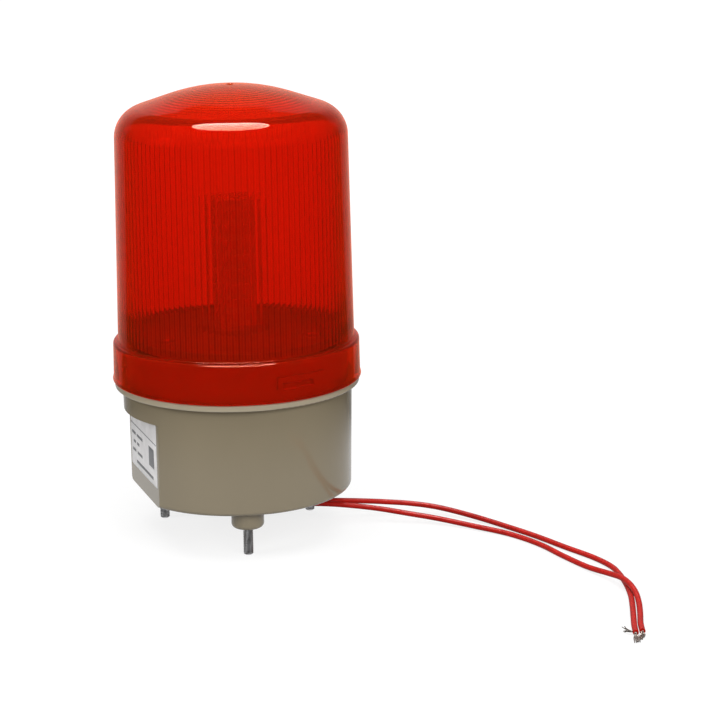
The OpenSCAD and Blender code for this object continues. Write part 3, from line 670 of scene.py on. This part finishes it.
def hex_head_grid(centre, low_z, high_z, across):
    """A hexagon head: six flats up to a chamfered top."""
    chamfer_h, top_share = 0.3 * MM, 0.86
    angle = np.radians(np.arange(6) * 60 + 30)
    corner = across / 2 / math.cos(math.pi / 6)
    rows = [
        (0, low_z), (corner, low_z),
        (corner, high_z - chamfer_h), (corner * top_share, high_z), (0, high_z),
    ]
    r, z = np.array(rows).T[:, :, None]
    return turned(r, angle, z, centre), grid_quads(len(rows), len(angle))


class ALARM_OT_studs(bpy.types.Operator):
    """Builds the threaded studs and finishes the small screws"""

    bl_idname = "alarm.studs"
    bl_label = "Studs"

    def execute(self, context):
        look = context.scene.alarm_base
        metal = zinc_finish(look)
        dims = STUD_MOUNT["dims"]
        radius, circle = dims["stud_r_mm"] * MM, dims["pcd_mm"] / 2 * MM
        head_h, across = 2.8 * MM, 7 * MM
        grids = []
        for i in range(dims["count"]):
            angle = look.stud_turn + i * 2 * math.pi / dims["count"]
            centre = (circle * math.cos(angle), circle * math.sin(angle))
            head_z = STUD_HIGH.z - head_h
            grids += [
                thread_grid(centre, STUD_LOW.z, head_z, radius, look.thread_pitch, look.thread_depth),
                hex_head_grid(centre, head_z, STUD_HIGH.z, across),
            ]
        studs = new_piece("threaded_studs", *join_grids(grids), metal, "base", 40)
        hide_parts("mounting_studs")
        dress(metal, "deck_screws", "board_screws")
        return {"FINISHED"}


class ALARM_OT_tower(bpy.types.Operator):
    """Finishes the deck and the lamp tower seen through the lens"""

    bl_idname = "alarm.tower"
    bl_label = "Lamp tower"

    def execute(self, context):
        boards = [f"led_board_{i}" for i in range(1, 5)]
        chips = [f"led_chips_{i}" for i in range(1, 5)]
        dress(plain_finish("deck_grey", (0.6, 0.57, 0.51), (0.4, 0.55)), "deck", "tower_foot")
        dress(plain_finish("lamp_board_white", (0.96, 0.95, 0.9), (0.3, 0.42)), "tower_cap", *boards)
        chip = plain_finish("lamp_chip_yellow", (0.95, 0.74, 0.22), (0.25, 0.35), 900)
        dress(chip, "led_chips_top", *chips)
        return {"FINISHED"}


class ALARM_OT_electronics(bpy.types.Operator):
    """Finishes the driver board, its parts and the buzzer"""

    bl_idname = "alarm.electronics"
    bl_label = "Electronics"

    def execute(self, context):
        dress(plain_finish("driver_board_green", (0.012, 0.11, 0.03), (0.3, 0.4)), "driver_board")
        black = plain_finish("part_black", (0.02, 0.02, 0.022), (0.4, 0.55), 600)
        dress(black, "rectifier", "control_chip", "buzzer")
        dress(plain_finish("sleeve_blue", (0.012, 0.016, 0.07), (0.2, 0.3)), "smoothing_capacitor")
        dress(plain_finish("choke_brown", (0.07, 0.022, 0.008), (0.35, 0.5), 700), "choke")
        dress(plain_finish("fuse_tinned", (0.55, 0.54, 0.52), (0.2, 0.35), Metallic=1.0), "fuse")
        return {"FINISHED"}


def strand_paths(end, way, look, seed, reach, lean):
    """Bare strands that run on from a lead's end, pressed into a flat row on the floor.

    A strand's path runs along the lead's way, and moves from its place in the lead to one in the row.
    """
    draw = np.random.default_rng(seed)
    count = look.strand_count
    row_share, bundle_share, turn_step = 0.46, 0.3, 2.4
    settle_rate, settle_power = 2.2, 1.5
    t = np.linspace(0, 1, 8)[:, None]
    settle = np.minimum(1, settle_rate * t) ** settle_power
    side = np.cross(way, UP)
    row = np.linspace(-1, 1, count) * look.diameter * row_share
    turn = np.arange(count) * turn_step
    ring = look.diameter * bundle_share * np.sqrt(np.arange(count) / count)
    low = 2.2 * look.strand_r
    paths = []
    for i in range(count):
        start = end + ring[i] * (math.cos(turn[i]) * side + math.sin(turn[i]) * UP)
        wander = side * (lean + draw.uniform(-0.25, 0.25) * MM)
        stop = end + side * row[i] + UP * (low + draw.uniform(0, 2.4) * look.strand_r - end[2])
        long = way * (reach + draw.uniform(-0.7, 0.7) * MM + 0.9 * row[i])
        paths.append(start + (stop - start) * settle + long * t + wander * t**2)
    return paths


def stray_paths(end, way, look, seed):
    """Stray strands bent back to one side of a lead's end, each with a curl at its tip.

    A path leaves sideways and leans back along the lead.
    It also circles, by a radius that grows with the square of the way along it.
    """
    draw = np.random.default_rng(seed)
    edge_share, flatness, lean_power, rest = 0.3, 0.6, 1.4, 1.5 * look.strand_r
    t = np.linspace(0, 1, 16)[:, None]
    side = np.cross(way, UP)
    paths = []
    for _ in range(look.stray_count):
        out = side * draw.uniform(2.6, 4.2) * MM
        back = -way * (draw.uniform(-0.5, 5.5) * MM)
        curl = draw.uniform(0.3, 0.7) * MM * t**2
        angle = draw.uniform(0, 6.3) + t * draw.uniform(3, 7)
        rise = UP * (draw.uniform(-0.6, 0.9) * MM) * t
        circle = curl * (np.cos(angle) * way + np.sin(angle) * UP * flatness)
        path = end + side * look.diameter * edge_share + out * t + back * t**lean_power + rise + circle
        path[:, 2] = np.maximum(path[:, 2], rest)
        paths.append(path)
    return paths


class ALARM_OT_leads(bpy.types.Operator):
    """Lays the two leads and their bare strands"""

    bl_idname = "alarm.leads"
    bl_label = "Leads"

    def execute(self, context):
        look = context.scene.alarm_leads
        red = plain_finish("lead_red_insulation", look.colour, (0.4, 0.5), 260, 0.003 * MM, IOR=1.27)
        tin = plain_finish("strand_tinned", look.tin, (0.25, 0.4), 1500, Metallic=1.0)
        reaches, leans = (8.2 * MM, 6.4 * MM), (0, 1.0 * MM)
        route_steps, strand_sides, tuck = 10, 6, 0.5 * MM
        for i, route in enumerate(LEAD_ROUTES):
            path = smooth_route(np.array(route, float) * MM, route_steps)
            curve = bpy.data.curves.new(f"lead_{i + 1}", "CURVE")
            curve.dimensions = "3D"
            curve.bevel_depth = look.diameter / 2
            curve.bevel_resolution = 6
            curve.use_fill_caps = True
            spline = curve.splines.new("POLY")
            spline.points.add(len(path) - 1)
            spline.points.foreach_set("co", np.c_[path, np.ones(len(path))].ravel())
            spline.use_smooth = True
            curve.materials.append(red)
            lead = placed(f"lead_{i + 1}", curve)
            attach(lead, "base")
            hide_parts(f"lead_wire_{i + 1}")
            way = path[-1] - path[-2]
            way /= np.linalg.norm(way)
            end = path[-1] - way * tuck
            paths = strand_paths(end, way, look, STRAND_SEED + i, reaches[i], leans[i])
            if i == 0:
                paths += stray_paths(end, way, look, STRAY_SEED)
            grids = [tube_grid(p, look.strand_r, strand_sides) for p in paths]
            strands = new_piece(f"strands_{i + 1}", *join_grids(grids), tin, "base")
            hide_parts(f"wire_end_{i + 1}")
        return {"FINISHED"}


def plate_grid(x, thickness, centre_y, centre_z, width, height, corner):
    """A thin plate with round corners that lies on a face of constant x and stands out towards -x.

    Its outline is a rectangle's four corner arcs, drawn in to the middle on both faces.
    """
    turn = np.radians(np.linspace(0, 90, 6))
    outline = np.concatenate([
        np.stack([
            sy * (width / 2 - corner) + corner * np.cos(turn + start),
            sz * (height / 2 - corner) + corner * np.sin(turn + start),
        ], 1)
        for sy, sz, start in ((1, 1, 0), (-1, 1, math.pi / 2), (-1, -1, math.pi), (1, -1, 1.5 * math.pi))
    ])
    front = x - thickness
    rows = [(0, x), (1, x), (1, x - thickness * 0.7), (0.995, front), (0.5, front), (0, front)]
    share, level = np.array(rows).T[:, :, None]
    y, z = centre_y + share * outline[:, 0], centre_z + share * outline[:, 1]
    return np.stack([np.broadcast_to(level, y.shape), y, z], -1), grid_quads(len(rows), len(outline))


# Plain bars and one block on the label in millimetres: two sides, height above its foot and thickness
LABEL_BARS = (
    (-20, 20, 17.7, 0.45),
    (12.6, 18.2, 14, 1.2), (1.5, 10.8, 14, 1.2),
    (12.6, 16.2, 10.5, 1.2), (7, 10.8, 10.5, 1.2),
    (12.6, 17.8, 6.8, 1.2), (2.5, 10.2, 6.8, 1.2),
    (-14.5, 11.8, 2.7, 1.3),
    (-16.2, -8.2, 10.8, 8),
)


class ALARM_OT_label(bpy.types.Operator):
    """Lays the bare label on its flat, with plain bars in place of print"""

    bl_idname = "alarm.label"
    bl_label = "Label"

    def execute(self, context):
        look = context.scene.alarm_base
        thick, ink, corner, bar_corner = 0.12 * MM, 0.02 * MM, 1.2 * MM, 0.15 * MM
        centre_z = look.label_z + look.label_h / 2
        paper = plain_finish("label_paper", look.paper, (0.3, 0.4), 200, 0.003 * MM, Coat_Weight=0.2)
        plate = plate_grid(-look.flat_d, thick, 0, centre_z, look.label_w, look.label_h, corner)
        label = new_piece("bare_label", *plate, paper, "base")
        face_x = -look.flat_d - thick
        bars = np.array(LABEL_BARS) * MM
        grids = [
            plate_grid(face_x, ink, (right + left) / 2, look.label_z + up, left - right, deep, bar_corner)
            for right, left, up, deep in bars
        ]
        grey = plain_finish("label_print_grey", look.print_grey, (0.3, 0.4), 200, 0.003 * MM)
        printed = new_piece("label_bars", *join_grids(grids), grey, "base")
        return {"FINISHED"}


def along(tree, place, turn):
    """How far a place or direction lies along a level way, which a turn of 0 points along +Y."""
    way = add(tree, "ShaderNodeVectorMath", operation="DOT_PRODUCT")
    way.inputs[1].default_value = (-math.sin(turn), math.cos(turn), 0)
    tree.links.new(place, way.inputs[0])
    return way.outputs["Value"]


def backdrop_share(tree, place, look):
    """Share of the white backdrop in a direction from the axis.

    A ramp gives it from the cosine of the direction's turn from straight behind.
    It is brightest straight behind, falls off to the sides, and ends at a turn of about 50 degrees.
    """
    flat = add(tree, "ShaderNodeVectorMath", operation="MULTIPLY")
    flat.inputs[1].default_value = (1, 1, 0)
    way = add(tree, "ShaderNodeVectorMath", operation="NORMALIZE")
    tree.links.new(place, flat.inputs[0])
    tree.links.new(flat.outputs["Vector"], way.inputs[0])
    ramp = add(tree, "ShaderNodeValToRGB")
    stops = ((0.63, 0.0), (0.65, 0.22), (0.79, 0.36), (0.91, 0.7), (0.98, 1.0))
    for position, _ in stops[1:-1]:
        ramp.color_ramp.elements.new(position)
    for stop, (position, level) in zip(ramp.color_ramp.elements, stops):
        stop.position = position
        stop.color = (level, level, level, 1)
    turn = look.turn + look.backdrop_turn
    tree.links.new(along(tree, way.outputs["Vector"], turn), ramp.inputs["Fac"])
    return ramp.outputs["Color"]


def combine(tree, operation, first, second):
    """One number from two by a sum, product, greatest value or the like; each is a socket or a number."""
    node = add(tree, "ShaderNodeMath", operation=operation)
    for value, socket in ((first, node.inputs[0]), (second, node.inputs[1])):
        if isinstance(value, (int, float)):
            socket.default_value = value
        else:
            tree.links.new(value, socket)
    return node.outputs[0]


def bare_tree(owner):
    """An emptied node tree of a material or world, and a light path in it."""
    owner.use_nodes = True
    owner.node_tree.nodes.clear()
    return owner.node_tree, add(owner.node_tree, "ShaderNodeLightPath").outputs


def floor_finish(look):
    """A pale floor that keeps shadows and looks white to the camera and through the lens.

    Gloss sees the white behind the alarm and near it, and a dimmer floor at the sides.
    """
    white_from, white_full = 0.15, 1.0
    near_end, near_full, near_level = 0.24, 0.12, 0.68
    made = bpy.data.materials.new("pale_floor")
    tree, path = bare_tree(made)
    place = add(tree, "ShaderNodeTexCoord").outputs["Object"]
    far = add(tree, "ShaderNodeVectorMath", operation="LENGTH")
    tree.links.new(place, far.inputs[0])
    distance = far.outputs["Value"]
    glossy = path["Is Glossy Ray"]
    seen = combine(tree, "MAXIMUM", path["Is Camera Ray"], path["Is Transmission Ray"])
    white = soft_step(tree, distance, white_from, white_full, look.glow_near, look.glow_far)
    behind = backdrop_share(tree, place, look)
    near = soft_step(tree, distance, near_end, near_full, 0, near_level)
    gloss = combine(tree, "MAXIMUM", combine(tree, "MULTIPLY", behind, look.backdrop), near)
    level = combine(
        tree, "ADD",
        combine(tree, "MULTIPLY", seen, white),
        combine(tree, "MULTIPLY", glossy, gloss),
    )
    lit = combine(tree, "MULTIPLY", combine(tree, "SUBTRACT", 1, glossy), look.floor_grey)
    diffuse = add(tree, "ShaderNodeBsdfDiffuse")
    tree.links.new(lit, diffuse.inputs["Color"])
    glow = add(tree, "ShaderNodeEmission", Color=(1, 1, 1, 1))
    both = add(tree, "ShaderNodeAddShader")
    out = add(tree, "ShaderNodeOutputMaterial")
    tree.links.new(level, glow.inputs["Strength"])
    tree.links.new(diffuse.outputs[0], both.inputs[0])
    tree.links.new(glow.outputs[0], both.inputs[1])
    tree.links.new(both.outputs[0], out.inputs["Surface"])
    return made


def studio_world(look):
    """A white sweep round the horizon with a dim room above it.

    The camera sees white all over, and gloss sees a tall backdrop in a dark room.
    The backdrop's top edge falls off with the square of the way to the side.
    """
    sweep_end, sweep_full = 0.16, 0.06
    edge_end, edge_full = 1.04, 1.0
    edge_shift, edge_fall, fall_most = 0.05, 5, 0.4
    dim_height, dim_level = 0.7, 0.27
    world = bpy.data.worlds.new("studio")
    tree, path = bare_tree(world)
    place = add(tree, "ShaderNodeTexCoord").outputs["Generated"]
    split = add(tree, "ShaderNodeSeparateXYZ")
    tree.links.new(place, split.inputs["Vector"])
    height = split.outputs["Z"]
    behind = backdrop_share(tree, place, look)
    ahead = along(tree, place, look.turn)
    steep = combine(tree, "DIVIDE", height, ahead)
    aside = combine(tree, "DIVIDE", along(tree, place, look.turn - math.pi / 2), ahead)
    shifted = combine(tree, "ABSOLUTE", combine(tree, "ADD", aside, edge_shift), 0)
    fall = combine(tree, "MULTIPLY", combine(tree, "POWER", shifted, 2), edge_fall)
    fall = combine(tree, "MINIMUM", fall, fall_most)
    top = soft_step(tree, combine(tree, "ADD", steep, fall), edge_end, edge_full, 0, look.backdrop)
    dim = add(tree, "ShaderNodeMapRange", From_Min=0, From_Max=dim_height, To_Min=1, To_Max=dim_level)
    tree.links.new(height, dim.inputs["Value"])
    top = combine(tree, "MULTIPLY", top, dim.outputs["Result"])
    gloss = combine(tree, "MAXIMUM", combine(tree, "MULTIPLY", behind, top), look.dark)
    plain = soft_step(tree, height, sweep_end, sweep_full, look.room, 1)
    plain = combine(tree, "MAXIMUM", plain, path["Is Camera Ray"])
    glossy = path["Is Glossy Ray"]
    level = combine(
        tree, "ADD",
        combine(tree, "MULTIPLY", glossy, gloss),
        combine(tree, "MULTIPLY", combine(tree, "SUBTRACT", 1, glossy), plain),
    )
    room = add(tree, "ShaderNodeBackground", Color=(1, 1, 1, 1))
    out = add(tree, "ShaderNodeOutputWorld")
    tree.links.new(level, room.inputs["Strength"])
    tree.links.new(room.outputs[0], out.inputs["Surface"])
    return world


def lamp(name, power, size, place, aim, turn, for_gloss):
    """A soft oval lamp at a place, turned to an aim; gloss shows it, or else it lights the rest.

    A lamp for gloss shows only in gloss that the eye sees first, so it throws no sparks on the base.
    """
    light = bpy.data.lights.new(name, "AREA")
    light.shape = "ELLIPSE"
    light.energy = power
    light.size, light.size_y = size
    made = placed(name, light)
    facing = (Vector(aim) - Vector(place)).to_track_quat("-Z", "Y").to_matrix().to_4x4()
    made.matrix_world = Matrix.Rotation(turn, 4, "Z") @ Matrix.Translation(place) @ facing
    made.visible_camera = False
    made.visible_transmission = not for_gloss
    made.visible_glossy = for_gloss
    made.visible_diffuse = not for_gloss
    if for_gloss:
        light.use_nodes = True
        tree = light.node_tree
        path = add(tree, "ShaderNodeLightPath")
        # No bounce off a matt surface yet means a depth of 0
        direct = combine(tree, "LESS_THAN", path.outputs["Diffuse Depth"], 0.5)
        tree.links.new(direct, tree.nodes["Emission"].inputs["Strength"])


# Lamps by name: the property that holds the power, width and depth, place, aim, and if it is for gloss
LAMPS = {
    "overhead": ("overhead_power", (1.5, 1.3), (0, 0, 1.15), (0, 0, 0.1), False),
    "front_fill": ("fill_power", (3.2, 0.9), (0.55, -1.3, 0.8), (0, 0, 0.07), False),
    "side_fill": ("side_power", (0.9, 0.9), (-1.4, -0.5, 0.7), (0, 0, 0.05), False),
    "gloss": ("gloss_power", (0.64, 0.5), (0, -0.03, 0.95), (0, 0, 0.15), True),
}


class ALARM_OT_stage(bpy.types.Operator):
    """Sets the camera, the floor, the lamps and the studio round the alarm"""

    bl_idname = "alarm.stage"
    bl_label = "Stage and camera"

    def execute(self, context):
        look = context.scene.alarm_stage
        scene = context.scene
        scene.view_settings.view_transform = "Standard"
        camera = bpy.data.cameras.new("photo_camera")
        camera.lens, camera.sensor_width = look.focal, 36
        camera.clip_start, camera.clip_end = 0.05, 50
        holder = placed("photo_camera", camera)
        stand = (
            look.distance * math.sin(look.azimuth), -look.distance * math.cos(look.azimuth), look.height
        )
        holder.matrix_world = (
            Matrix.Translation(stand)
            @ Matrix.Rotation(look.turn, 4, "Z")
            @ Matrix.Rotation(math.pi / 2 - look.tilt, 4, "X")
            @ Matrix.Rotation(look.roll, 4, "Z")
        )
        scene.camera = holder
        half = look.floor_half
        mesh = bpy.data.meshes.new("floor")
        corners = [(-half, -half, 0), (half, -half, 0), (half, half, 0), (-half, half, 0)]
        mesh.from_pydata(corners, [], [(0, 1, 2, 3)])
        mesh.materials.append(floor_finish(look))
        floor = placed("floor", mesh)
        scene.world = studio_world(look)
        for name, (power, size, place, aim, for_gloss) in LAMPS.items():
            lamp(name, getattr(look, power), size, place, aim, look.turn, for_gloss)
        return {"FINISHED"}


class ALARM_PT_sidebar(bpy.types.Panel):
    """Lists the pieces of the alarm and the sizes and colours behind them"""

    bl_idname = "ALARM_PT_sidebar"
    bl_label = "Sound and light alarm"
    bl_space_type = "VIEW_3D"
    bl_region_type = "UI"
    bl_category = "Alarm"

    def draw(self, context):
        for operator in OPERATORS:
            self.layout.operator(operator.bl_idname)
        for name, group in GROUPS.items():
            box = self.layout.box()
            for key in group.__annotations__:
                box.prop(getattr(context.scene, name), key)


GROUPS = {
    "alarm_lens": AlarmLens,
    "alarm_base": AlarmBase,
    "alarm_leads": AlarmLeads,
    "alarm_stage": AlarmStage,
}
OPERATORS = (
    ALARM_OT_stage,
    ALARM_OT_leads,
    ALARM_OT_lens,
    ALARM_OT_base,
    ALARM_OT_studs,
    ALARM_OT_tower,
    ALARM_OT_electronics,
    ALARM_OT_label,
)


def register():
    for name, group in GROUPS.items():
        bpy.utils.register_class(group)
        setattr(bpy.types.Scene, name, PointerProperty(type=group))
    for made in (*OPERATORS, ALARM_PT_sidebar):
        bpy.utils.register_class(made)


def unregister():
    for made in reversed((*OPERATORS, ALARM_PT_sidebar)):
        bpy.utils.unregister_class(made)
    for name, group in reversed(GROUPS.items()):
        delattr(bpy.types.Scene, name)
        bpy.utils.unregister_class(group)


def main():
    """Builds every piece in order."""
    register()
    bpy.ops.alarm.stage()
    bpy.ops.alarm.leads()
    bpy.ops.alarm.lens()
    bpy.ops.alarm.base()
    bpy.ops.alarm.studs()
    bpy.ops.alarm.tower()
    bpy.ops.alarm.electronics()
    bpy.ops.alarm.label()


if __name__ == "__main__":
    main()
